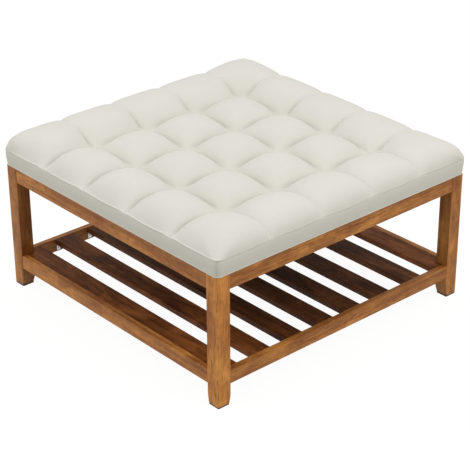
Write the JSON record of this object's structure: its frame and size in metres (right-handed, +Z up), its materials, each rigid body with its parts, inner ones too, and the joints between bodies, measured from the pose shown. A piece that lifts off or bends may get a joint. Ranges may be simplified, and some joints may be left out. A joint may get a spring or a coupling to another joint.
{
  "type": "ottoman coffee table",
  "caption": "Square ottoman coffee table with a cream biscuit-tufted cushion on a brown wooden frame, four legs with tapered feet and a low slatted shelf.",
  "frame": {"origin": "on the floor under the centre of the table's footprint", "axes": "+Z up, the front is -Y, the slats run along X, and X and Y are alike in size"},
  "size_m": [0.819, 0.819, 0.45],
  "materials": {
    "frame_wood": "satin brown stain and clear lacquer",
    "slat_wood": "satin brown stain and clear lacquer",
    "block_wood": "bare sawn softwood",
    "plywood": "bare plywood",
    "cover_fabric": "matt woven cream fabric",
    "foam": "matt upholstery foam",
    "tape_fabric": "woven cotton tape",
    "dust_cloth": "matt black non-woven cloth",
    "zinc_steel": "bright zinc plate",
    "glide_plastic": "matt brown plastic"
  },
  "bodies": {
    "root": {"corner_block_back_left": "block_wood", "corner_block_back_right": "block_wood", "corner_block_front_left": "block_wood", "corner_block_front_right": "block_wood", "deck_board": "plywood", "deck_screws": "zinc_steel", "dust_cover": "dust_cloth", "foam_core": "foam", "foot_glides": "glide_plastic", "hanger_bolts": "zinc_steel", "hanger_nuts": "zinc_steel", "hanger_washers": "zinc_steel", "leg_back_left": "frame_wood", "leg_back_right": "frame_wood", "leg_front_left": "frame_wood", "leg_front_right": "frame_wood", "lower_rail_back": "frame_wood", "lower_rail_front": "frame_wood", "lower_rail_left": "frame_wood", "lower_rail_right": "frame_wood", "side_band_back": "cover_fabric", "side_band_front": "cover_fabric", "side_band_left": "cover_fabric", "side_band_right": "cover_fabric", "slat_1": "slat_wood", "slat_2": "slat_wood", "slat_3": "slat_wood", "slat_4": "slat_wood", "slat_5": "slat_wood", "slat_6": "slat_wood", "slat_7": "slat_wood", "slat_8": "slat_wood", "slat_brackets": "zinc_steel", "tuft_tapes": "tape_fabric", "tufted_top": "cover_fabric", "upper_rail_back": "frame_wood", "upper_rail_front": "frame_wood", "upper_rail_left": "frame_wood", "upper_rail_right": "frame_wood"}
  },
  "joints": []
}
